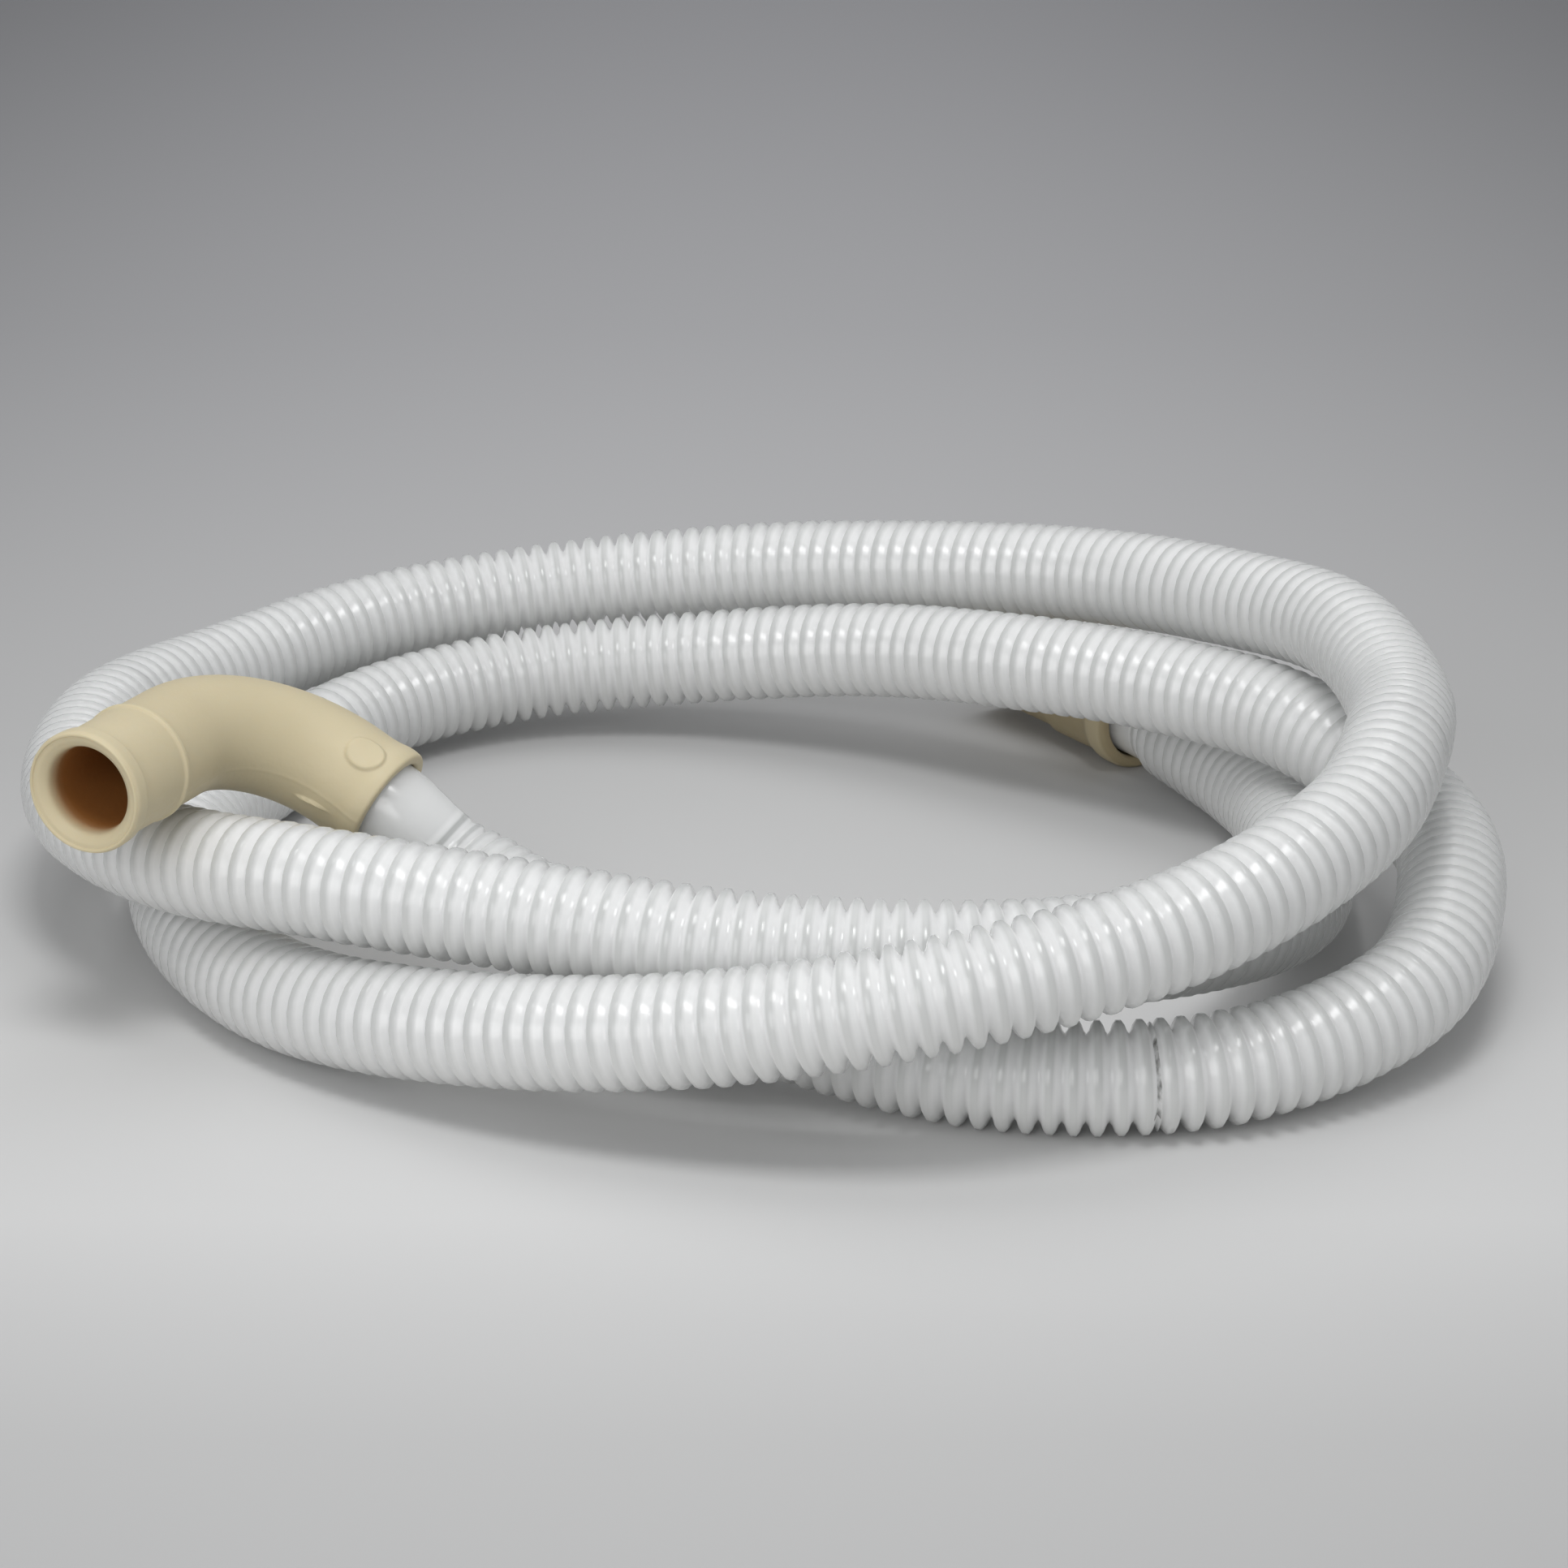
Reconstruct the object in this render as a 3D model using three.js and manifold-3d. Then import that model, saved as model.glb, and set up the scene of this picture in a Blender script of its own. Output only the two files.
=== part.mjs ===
// Dishwasher drain hose: a corrugated hose laid in loose turns, with a moulded rubber elbow on one end
// and a stepped straight connector on the other. Millimetres, +Z up, lying on the floor at Z = 0.
// The origin is at the middle of the coil's footprint, on the floor. -Y is the near side.

import * as THREE from "three";
import Module from "manifold-3d";

const wasm = await Module();
wasm.setup();
const { Manifold, Mesh: SolidMesh } = wasm;

// Hose section
const HOSE_OUTER_R = 11; // over the ridges
const HOSE_BORE_R = 8;
const CUFF_R = 9.2; // smooth cuffs at both ends
const CUFF_AT_ELBOW = 24; // length of smooth cuff, inside and outside the elbow
const CUFF_AT_CONNECTOR = 20;
const HOSE_SIDES = 12;
const HOSE_STEPS = 80;
const CUFF_STEPS = 6;
const CUFF_OVERLAP = 2; // how far the smooth cuffs run on inside the ridged hose

// Fit between a cuff and the socket that it sits in
const CUFF_CLEARANCE = 0.4;
const SOCKET_R = CUFF_R + CUFF_CLEARANCE;

// Elbow: a quarter bend between a mouth leg and a hose leg, measured from the corner of the two axes
const ELBOW_CORNER = new THREE.Vector3(-101.5, -28, 56.2);
const ELBOW_MOUTH_AZIMUTH = -114; // degrees, the way the mouth faces
const ELBOW_ROLL = -27.8; // degrees, how far the hose leg dips below the horizontal
const ELBOW_MOUTH_LEG = 59;
const ELBOW_HOSE_LEG = 37;
const ELBOW_BEND_R = 27;
const ELBOW_BODY_R = 11.5;
const ELBOW_BORE_R = 8.5;
const ELBOW_CUFF_DEPTH = 10; // how far the hose's cuff goes in
const ELBOW_SOCKET_DEPTH = ELBOW_CUFF_DEPTH + CUFF_CLEARANCE;
const MOUTH_BEAD_R = 12.3;
const MOUTH_BEAD_LENGTH = 4;
const MOUTH_CHAMFER_R = 10.4;
const MOUTH_CHAMFER_DEPTH = 1.8;
const COLLAR_AT = 18; // from the mouth's face
const COLLAR_WIDTH = 1;
const COLLAR_R = 11.85;
const HOSE_END_LIP_R = 12.1;
const HOSE_END_LIP_LENGTH = 4;
const PAD_LENGTH = 11; // oval pad, along the hose leg
const PAD_WIDTH = 7;
const PAD_HEIGHT = 0.7;
const PAD_FROM_END = 11;
const PAD_TURN = 15; // degrees round the hose leg, from the bend's upper side towards the mouth
const RIB_LENGTH = 8;
const RIB_WIDTH = 1.2;
const RIB_HEIGHT = 0.7;
const RIB_FROM_END = 13;
const RIB_TURN = 95;
const ELBOW_STEPS = 26;
const ELBOW_SIDES = 40;

// Straight connector, from the flange's face to its far end
const CONNECTOR_FACE = new THREE.Vector3(91.5, 88.6, 12.5);
const CONNECTOR_AZIMUTH = 123.2; // degrees, away from the hose
const CONNECTOR_FLANGE_R = 12.5;
const CONNECTOR_FLANGE_LENGTH = 9;
const CONNECTOR_FLANGE_TAPER = 3;
const CONNECTOR_NECK_R = 11.2;
const CONNECTOR_NECK_END = 25;
const CONNECTOR_TAIL_R = 10.4;
const CONNECTOR_LENGTH = 54;
const CONNECTOR_BORE_R = 7.9;
const CONNECTOR_CUFF_DEPTH = 12;
const CONNECTOR_SOCKET_DEPTH = CONNECTOR_CUFF_DEPTH + CUFF_CLEARANCE;

// The hose's centreline between its two straight ends, read from the photograph
const ROUTE = [
  [-56, -46, 26], [-4, -85, 15], [46, -110, 11], [92, -110, 12], [128, -86, 17], [141, -53, 23],
  [142, -18, 26], [119, 22, 34], [92, 49, 34], [64, 70, 32], [29, 95, 27], [-16, 113, 19],
  [-55, 112, 15], [-86, 93, 13], [-109, 55, 11], [-120, 9, 12], [-113, -36, 11], [-89, -76, 12],
  [-51, -106, 18], [-9, -125, 26], [37, -132, 36], [82, -116, 43], [116, -82, 50], [129, -49, 54],
  [134, -14, 53], [127, 24, 55], [106, 57, 52], [78, 86, 48], [41, 109, 43], [-1, 127, 37],
  [-46, 132, 31], [-86, 118, 28], [-120, 84, 26], [-141, 39, 29], [-140, -10, 29], [-117, -50, 32],
  [-81, -77, 36], [-41, -94, 36], [3, -106, 34], [51, -107, 33], [89, -84, 28], [110, -46, 19],
  [117, -3, 12], [115, 36, 11],
];

/** A stretch of a longer route, so that each piece of the hose follows the same line. */
class RouteStretch extends THREE.Curve {
  constructor(route, fromLength, toLength) {
    super();
    this.route = route;
    this.from = fromLength / route.getLength();
    this.to = toLength / route.getLength();
  }

  getPoint(t, target = new THREE.Vector3()) {
    return this.route.getPointAt(this.from + (this.to - this.from) * t, target);
  }

  getPointAt(u, target) {
    return this.getPoint(u, target);
  }

  getTangent(t, target = new THREE.Vector3()) {
    return this.route.getTangentAt(this.from + (this.to - this.from) * t, target);
  }

  getTangentAt(u, target) {
    return this.getTangent(u, target);
  }
}

/** Turns a closed geometry into a solid for joining and cutting. */
function toSolid(geometry) {
  const flat = geometry.index ? geometry.toNonIndexed() : geometry;
  const points = flat.getAttribute("position");
  const found = new Map();
  const vertices = [];
  const corners = [];
  for (let i = 0; i < points.count; i += 1) {
    const xyz = [points.getX(i), points.getY(i), points.getZ(i)];
    const key = xyz.map((v) => Math.round(v * 1e4)).join(" ");
    if (!found.has(key)) {
      found.set(key, vertices.length / 3);
      vertices.push(...xyz);
    }
    corners.push(found.get(key));
  }
  const faces = [];
  for (let i = 0; i < corners.length; i += 3) {
    const [a, b, c] = corners.slice(i, i + 3);
    if (a !== b && b !== c && c !== a) faces.push(a, b, c);
  }
  return new Manifold(new SolidMesh({
    numProp: 3,
    vertProperties: new Float32Array(vertices),
    triVerts: new Uint32Array(faces),
  }));
}

function toGeometry(solid) {
  const mesh = solid.getMesh();
  const geometry = new THREE.BufferGeometry();
  const xyz = new Float32Array(mesh.numVert * 3);
  for (let i = 0; i < mesh.numVert; i += 1) {
    for (let k = 0; k < 3; k += 1) xyz[i * 3 + k] = mesh.vertProperties[i * mesh.numProp + k];
  }
  geometry.setAttribute("position", new THREE.BufferAttribute(xyz, 3));
  geometry.setIndex(new THREE.BufferAttribute(new Uint32Array(mesh.triVerts), 1));
  return geometry;
}

function roundSection(radius, sides) {
  const shape = new THREE.Shape();
  for (let i = 0; i < sides; i += 1) {
    const angle = (i / sides) * Math.PI * 2;
    const x = Math.cos(angle) * radius;
    const y = Math.sin(angle) * radius;
    if (i === 0) shape.moveTo(x, y);
    else shape.lineTo(x, y);
  }
  shape.closePath();
  return shape;
}

function sweep(curve, radius, sides, steps) {
  return toSolid(new THREE.ExtrudeGeometry(roundSection(radius, sides), {
    steps,
    extrudePath: curve,
    bevelEnabled: false,
  }));
}

/** A turned solid about the X axis, from [x, radius] pairs; the ends close on the axis. */
function turned(profile, sides = ELBOW_SIDES) {
  const first = profile[0];
  const last = profile[profile.length - 1];
  const points = [[first[0], 0], ...profile, [last[0], 0]].map(([x, r]) => new THREE.Vector2(r, x));
  const geometry = new THREE.LatheGeometry(points, sides);
  geometry.rotateZ(-Math.PI / 2);
  return toSolid(geometry);
}

/** A quarter-bend path: mouth leg along +X, hose leg along +Y, corner at the origin. */
class ElbowPath extends THREE.Curve {
  constructor(mouthLeg, hoseLeg, bendR) {
    super();
    this.mouthRun = mouthLeg - bendR;
    this.hoseRun = hoseLeg - bendR;
    this.bendR = bendR;
    this.total = this.mouthRun + (bendR * Math.PI) / 2 + this.hoseRun;
    this.mouthLeg = mouthLeg;
  }

  getPoint(t, target = new THREE.Vector3()) {
    const s = t * this.total;
    const bendLength = (this.bendR * Math.PI) / 2;
    if (s <= this.mouthRun) return target.set(this.mouthLeg - s, 0, 0);
    if (s >= this.mouthRun + bendLength) {
      return target.set(0, this.bendR + s - this.mouthRun - bendLength, 0);
    }
    const angle = (s - this.mouthRun) / this.bendR;
    return target.set(this.bendR - this.bendR * Math.sin(angle), this.bendR - this.bendR * Math.cos(angle), 0);
  }

  getPointAt(u, target) {
    return this.getPoint(u, target);
  }
}

/** The frame of the elbow: X along the mouth leg, Y along the hose leg, origin at the corner. */
function elbowFrame() {
  const azimuth = THREE.MathUtils.degToRad(ELBOW_MOUTH_AZIMUTH);
  const roll = THREE.MathUtils.degToRad(ELBOW_ROLL);
  const mouth = new THREE.Vector3(Math.cos(azimuth), Math.sin(azimuth), 0);
  const level = new THREE.Vector3(-Math.sin(azimuth), Math.cos(azimuth), 0);
  const hose = level.multiplyScalar(Math.cos(roll)).add(new THREE.Vector3(0, 0, Math.sin(roll)));
  const normal = new THREE.Vector3().crossVectors(mouth, hose);
  return { mouth, hose, matrix: new THREE.Matrix4().makeBasis(mouth, hose, normal).setPosition(ELBOW_CORNER) };
}

function connectorDirection() {
  const azimuth = THREE.MathUtils.degToRad(CONNECTOR_AZIMUTH);
  return new THREE.Vector3(Math.cos(azimuth), Math.sin(azimuth), 0);
}

/** The whole centreline: straight inside the elbow's socket, the coil, straight inside the connector. */
function hoseRoute() {
  const { hose } = elbowFrame();
  const elbowEnd = ELBOW_CORNER.clone().addScaledVector(hose, ELBOW_HOSE_LEG);
  const away = connectorDirection();
  return new THREE.CatmullRomCurve3([
    elbowEnd.clone().addScaledVector(hose, -ELBOW_CUFF_DEPTH),
    elbowEnd.clone().addScaledVector(hose, 1),
    ...ROUTE.map((p) => new THREE.Vector3(...p)),
    CONNECTOR_FACE.clone().addScaledVector(away, -6),
    CONNECTOR_FACE.clone().addScaledVector(away, CONNECTOR_CUFF_DEPTH),
  ], false, "centripetal");
}

function makeHose() {
  const route = hoseRoute();
  route.arcLengthDivisions = 2000;
  const length = route.getLength();
  const body = new RouteStretch(route, CUFF_AT_ELBOW, length - CUFF_AT_CONNECTOR);
  const firstCuff = new RouteStretch(route, 0, CUFF_AT_ELBOW + CUFF_OVERLAP);
  const lastCuff = new RouteStretch(route, length - CUFF_AT_CONNECTOR - CUFF_OVERLAP, length);
  const outer = Manifold.union([
    sweep(body, HOSE_OUTER_R, HOSE_SIDES, HOSE_STEPS),
    sweep(firstCuff, CUFF_R, HOSE_SIDES * 2, CUFF_STEPS),
    sweep(lastCuff, CUFF_R, HOSE_SIDES * 2, CUFF_STEPS),
  ]);
  const bore = Manifold.union([
    sweep(new RouteStretch(route, CUFF_AT_ELBOW - 1, length - CUFF_AT_CONNECTOR + 1), HOSE_BORE_R,
      HOSE_SIDES, HOSE_STEPS),
    sweep(new EndRun(firstCuff, 1, 0), HOSE_BORE_R, HOSE_SIDES * 2, CUFF_STEPS + 1),
    sweep(new EndRun(lastCuff, 0, 1), HOSE_BORE_R, HOSE_SIDES * 2, CUFF_STEPS + 1),
  ]);
  return toGeometry(outer.subtract(bore));
}

/** A stretch carried on in a straight line past its ends, so that a cut comes out clean. */
class EndRun extends THREE.Curve {
  constructor(stretch, before, after) {
    super();
    this.stretch = stretch;
    this.before = before;
    this.after = after;
  }

  getPoint(t, target = new THREE.Vector3()) {
    this.stretch.getPoint(t, target);
    const tangent = this.stretch.getTangent(t);
    if (t === 0) target.addScaledVector(tangent, -this.before);
    if (t === 1) target.addScaledVector(tangent, this.after);
    return target;
  }

  getPointAt(u, target) {
    return this.getPoint(u, target);
  }
}

function makeElbow() {
  const path = new ElbowPath(ELBOW_MOUTH_LEG, ELBOW_HOSE_LEG, ELBOW_BEND_R);
  const bead = MOUTH_BEAD_LENGTH;
  const mouthLeg = turned([
    [ELBOW_MOUTH_LEG - COLLAR_AT - COLLAR_WIDTH, ELBOW_BODY_R - 0.4],
    [ELBOW_MOUTH_LEG - COLLAR_AT - COLLAR_WIDTH, COLLAR_R],
    [ELBOW_MOUTH_LEG - COLLAR_AT, COLLAR_R],
    [ELBOW_MOUTH_LEG - COLLAR_AT + 0.6, ELBOW_BODY_R + 0.1],
    [ELBOW_MOUTH_LEG - bead - 0.8, ELBOW_BODY_R + 0.1],
    [ELBOW_MOUTH_LEG - bead, MOUTH_BEAD_R - 0.4],
    [ELBOW_MOUTH_LEG - bead + 0.8, MOUTH_BEAD_R],
    [ELBOW_MOUTH_LEG - 0.8, MOUTH_BEAD_R],
    [ELBOW_MOUTH_LEG, MOUTH_BEAD_R - 0.7],
  ]);
  const alongHose = (x) => toSolid(new THREE.LatheGeometry(
    [[x[0][0], 0], ...x, [x[x.length - 1][0], 0]].map(([y, r]) => new THREE.Vector2(r, y)), ELBOW_SIDES));
  const lip = alongHose([
    [ELBOW_HOSE_LEG - HOSE_END_LIP_LENGTH, ELBOW_BODY_R - 0.4],
    [ELBOW_HOSE_LEG - HOSE_END_LIP_LENGTH + 2, HOSE_END_LIP_R - 0.1],
    [ELBOW_HOSE_LEG - 0.7, HOSE_END_LIP_R],
    [ELBOW_HOSE_LEG, HOSE_END_LIP_R - 0.6],
  ]);
  const pad = toSolid(new THREE.CylinderGeometry(PAD_WIDTH / 2, PAD_WIDTH / 2, ELBOW_BODY_R + PAD_HEIGHT, 28)
    .rotateX(Math.PI / 2)
    .scale(1, PAD_LENGTH / PAD_WIDTH, 1)
    .translate(0, 0, (ELBOW_BODY_R + PAD_HEIGHT) / 2)
    .rotateY(THREE.MathUtils.degToRad(PAD_TURN))
    .translate(0, ELBOW_HOSE_LEG - PAD_FROM_END, 0));
  const rib = toSolid(new THREE.BoxGeometry(RIB_WIDTH, RIB_LENGTH, ELBOW_BODY_R + RIB_HEIGHT)
    .translate(0, 0, (ELBOW_BODY_R + RIB_HEIGHT) / 2)
    .rotateY(THREE.MathUtils.degToRad(RIB_TURN))
    .translate(0, ELBOW_HOSE_LEG - RIB_FROM_END, 0));
  const outer = Manifold.union([
    sweep(path, ELBOW_BODY_R, ELBOW_SIDES, ELBOW_STEPS), mouthLeg, lip, pad, rib,
  ]);
  const long = new ElbowPath(ELBOW_MOUTH_LEG + 1, ELBOW_HOSE_LEG + 1, ELBOW_BEND_R);
  const chamfer = turned([
    [ELBOW_MOUTH_LEG - MOUTH_CHAMFER_DEPTH, ELBOW_BORE_R - 0.05],
    [ELBOW_MOUTH_LEG, MOUTH_CHAMFER_R],
    [ELBOW_MOUTH_LEG + 1, MOUTH_CHAMFER_R + 0.3],
  ]);
  const socket = alongHose([
    [ELBOW_HOSE_LEG - ELBOW_SOCKET_DEPTH, SOCKET_R],
    [ELBOW_HOSE_LEG + 1, SOCKET_R],
  ]);
  const cut = Manifold.union([sweep(long, ELBOW_BORE_R, ELBOW_SIDES, ELBOW_STEPS), chamfer, socket]);
  return toGeometry(outer.subtract(cut)).applyMatrix4(elbowFrame().matrix);
}

function makeConnector() {
  const body = turned([
    [0, CONNECTOR_FLANGE_R - 1.2],
    [0.4, CONNECTOR_FLANGE_R - 0.4],
    [1.5, CONNECTOR_FLANGE_R],
    [CONNECTOR_FLANGE_LENGTH - CONNECTOR_FLANGE_TAPER, CONNECTOR_FLANGE_R],
    [CONNECTOR_FLANGE_LENGTH, CONNECTOR_NECK_R],
    [CONNECTOR_NECK_END, CONNECTOR_NECK_R],
    [CONNECTOR_NECK_END + 0.8, CONNECTOR_TAIL_R],
    [CONNECTOR_LENGTH - 0.8, CONNECTOR_TAIL_R],
    [CONNECTOR_LENGTH, CONNECTOR_TAIL_R - 0.6],
  ]);
  const socket = turned([[-1, SOCKET_R], [CONNECTOR_SOCKET_DEPTH, SOCKET_R]]);
  const bore = turned([[CONNECTOR_SOCKET_DEPTH - 1, CONNECTOR_BORE_R], [CONNECTOR_LENGTH + 1, CONNECTOR_BORE_R]]);
  const place = new THREE.Matrix4()
    .makeRotationZ(THREE.MathUtils.degToRad(CONNECTOR_AZIMUTH))
    .setPosition(CONNECTOR_FACE);
  return toGeometry(body.subtract(Manifold.union([socket, bore]))).applyMatrix4(place);
}

function named(name, geometry, colour) {
  const mesh = new THREE.Mesh(geometry, new THREE.MeshStandardMaterial({ color: colour }));
  mesh.name = name;
  return mesh;
}

const part = new THREE.Group();
part.name = "drain_hose";
part.add(named("hose", makeHose(), 0xd9dcdc));
part.add(named("elbow", makeElbow(), 0xcdbf98));
part.add(named("connector", makeConnector(), 0xb9a983));

export default part;
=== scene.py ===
"""Blender scene for a dishwasher drain hose lying in a loose coil.

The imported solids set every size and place. This script dresses them: a corrugated hose along the same
route, a moulded rubber elbow and a stepped rubber connector, each as its own closed surface with its
own material, on a pale floor under soft light, seen from the photograph's angle.
"""

from __future__ import annotations

import logging
import math
from dataclasses import dataclass, field
from enum import Enum
from typing import Sequence, Union

import bpy
import numpy as np
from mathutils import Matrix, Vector

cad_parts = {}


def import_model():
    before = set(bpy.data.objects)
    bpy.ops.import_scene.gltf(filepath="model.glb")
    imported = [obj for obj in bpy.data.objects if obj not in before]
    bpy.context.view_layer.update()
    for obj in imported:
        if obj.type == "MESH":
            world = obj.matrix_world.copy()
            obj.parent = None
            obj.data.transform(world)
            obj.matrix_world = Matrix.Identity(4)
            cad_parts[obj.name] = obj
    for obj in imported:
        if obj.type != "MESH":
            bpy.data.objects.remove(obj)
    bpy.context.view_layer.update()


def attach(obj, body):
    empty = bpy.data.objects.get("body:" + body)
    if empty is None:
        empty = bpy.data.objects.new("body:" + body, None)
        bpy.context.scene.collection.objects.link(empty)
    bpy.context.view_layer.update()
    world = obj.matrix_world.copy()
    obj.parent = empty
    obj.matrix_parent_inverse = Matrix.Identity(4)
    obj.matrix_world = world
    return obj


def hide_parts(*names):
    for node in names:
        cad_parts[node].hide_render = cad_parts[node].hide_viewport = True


LOG = logging.getLogger("drain_hose")
MM = 0.001
TAU = 2.0 * math.pi
IMAGE_PX = 1932


class Slot(Enum):
    """Material slots of the record."""

    HOSE = "hose_plastic"
    ELBOW = "elbow_rubber"
    CONNECTOR = "connector_rubber"


# Measures, in metres; those of the solids are as in part.mjs

ROUTE_MM = (
    (-56, -46, 26), (-4, -85, 15), (46, -110, 11), (92, -110, 12), (128, -86, 17), (141, -53, 23),
    (142, -18, 26), (119, 22, 34), (92, 49, 34), (64, 70, 32), (29, 95, 27), (-16, 113, 19),
    (-55, 112, 15), (-86, 93, 13), (-109, 55, 11), (-120, 9, 12), (-113, -36, 11), (-89, -76, 12),
    (-51, -106, 18), (-9, -125, 26), (37, -132, 36), (82, -116, 43), (116, -82, 50), (129, -49, 54),
    (134, -14, 53), (127, 24, 55), (106, 57, 52), (78, 86, 48), (41, 109, 43), (-1, 127, 37),
    (-46, 132, 31), (-86, 118, 28), (-120, 84, 26), (-141, 39, 29), (-140, -10, 29), (-117, -50, 32),
    (-81, -77, 36), (-41, -94, 36), (3, -106, 34), (51, -107, 33), (89, -84, 28), (110, -46, 19),
    (117, -3, 12), (115, 36, 11),
)


@dataclass(frozen=True)
class HoseSpec:
    """Measures of the corrugated hose."""

    ridge_radius: float = 11.0 * MM
    pitch: float = 4.2 * MM
    cuff_radius: float = 9.2 * MM
    bore_radius: float = 8.0 * MM
    open_bore: float = 8.0 * MM
    channel_radius: float = 0.3 * MM
    cuff_at_elbow: float = 24.0 * MM
    cuff_at_connector: float = 20.0 * MM
    ridges_onto_elbow_cuff: float = 3.0 * MM
    ridges_onto_connector_cuff: float = 1.0 * MM
    growing_ridges: int = 4
    shrinking_ridges: int = 2
    block_joint_depth: float = 0.7 * MM
    ridge_unevenness: float = 0.03 * MM
    end_rounding: float = 0.4 * MM
    sides: int = 28


@dataclass(frozen=True)
class ElbowSpec:
    """Measures of the elbow; legs run from the corner of its two axes."""

    corner: tuple[float, float, float] = (-0.1015, -0.028, 0.0562)
    mouth_azimuth: float = -114.0
    roll: float = -27.8
    mouth_leg: float = 59.0 * MM
    hose_leg: float = 37.0 * MM
    bend_radius: float = 27.0 * MM
    body_radius: float = 11.5 * MM
    sleeve_radius: float = 11.6 * MM
    bead_radius: float = 12.3 * MM
    bead_length: float = 3.9 * MM
    collar_at: float = 18.3 * MM
    collar_width: float = 0.8 * MM
    collar_radius: float = 12.1 * MM
    lip_radius: float = 12.15 * MM
    lip_length: float = 6.0 * MM
    seam_width: float = 0.35 * MM
    seam_height: float = 0.07 * MM
    bore_radius: float = 8.5 * MM
    socket_radius: float = 9.6 * MM
    cuff_depth: float = 10.0 * MM
    socket_depth: float = 10.4 * MM


@dataclass(frozen=True)
class ConnectorSpec:
    """Measures of the straight connector, from its flange's face to its far end."""

    face: tuple[float, float, float] = (0.0915, 0.0886, 0.0125)
    azimuth: float = 123.2
    length: float = 54.0 * MM
    flange_radius: float = 12.5 * MM
    flange_length: float = 9.0 * MM
    neck_radius: float = 11.2 * MM
    neck_end: float = 25.0 * MM
    tail_radius: float = 10.4 * MM
    bore_radius: float = 7.9 * MM
    socket_radius: float = 9.6 * MM
    cuff_depth: float = 12.0 * MM
    socket_depth: float = 12.4 * MM


@dataclass(frozen=True)
class Patch:
    """A raised oval patch on the elbow, measured from its hose end and round its axis."""

    from_end: float
    turn_deg: float
    half_length: float
    half_width: float
    lean_deg: float
    softness: float
    height: float


@dataclass(frozen=True)
class Mark:
    """A dark mark on the hose, in a groove or on a ridge."""

    at: float
    half_length: float
    turn: float
    half_turn: float


@dataclass(frozen=True)
class SoftBox:
    """A square soft light that points at the origin."""

    name: str
    at: tuple[float, float, float]
    size: float
    power: float


HOSE = HoseSpec()
ELBOW = ElbowSpec()
CONNECTOR = ConnectorSpec()
PAD = Patch(7.3 * MM, -28.0, 4.2 * MM, 3.5 * MM, 0.0, 0.06, 0.7 * MM)
RIB = Patch(12.6 * MM, -104.0, 4.7 * MM, 0.34 * MM, 5.0, 0.4, 0.7 * MM)

# The hose's straight run out of the elbow, and into the connector
LEAD_OUT = 1.0 * MM
LEAD_IN = 6.0 * MM


# Curves

def unit(vectors: np.ndarray) -> np.ndarray:
    """Scale vectors to length one.

    Args:
        vectors: Array whose last axis is x, y, z.

    Returns:
        The same array, each vector one long.
    """
    return vectors / np.linalg.norm(vectors, axis=-1, keepdims=True)


def heading(azimuth_deg: float) -> np.ndarray:
    """Level direction at an azimuth.

    Args:
        azimuth_deg: Degrees from +X towards +Y.

    Returns:
        The direction, one long.
    """
    angle = math.radians(azimuth_deg)
    return np.array([math.cos(angle), math.sin(angle), 0.0])


@dataclass(frozen=True)
class Stations:
    """Places along a path, each with two directions across it."""

    points: np.ndarray
    across_a: np.ndarray
    across_b: np.ndarray


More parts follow.
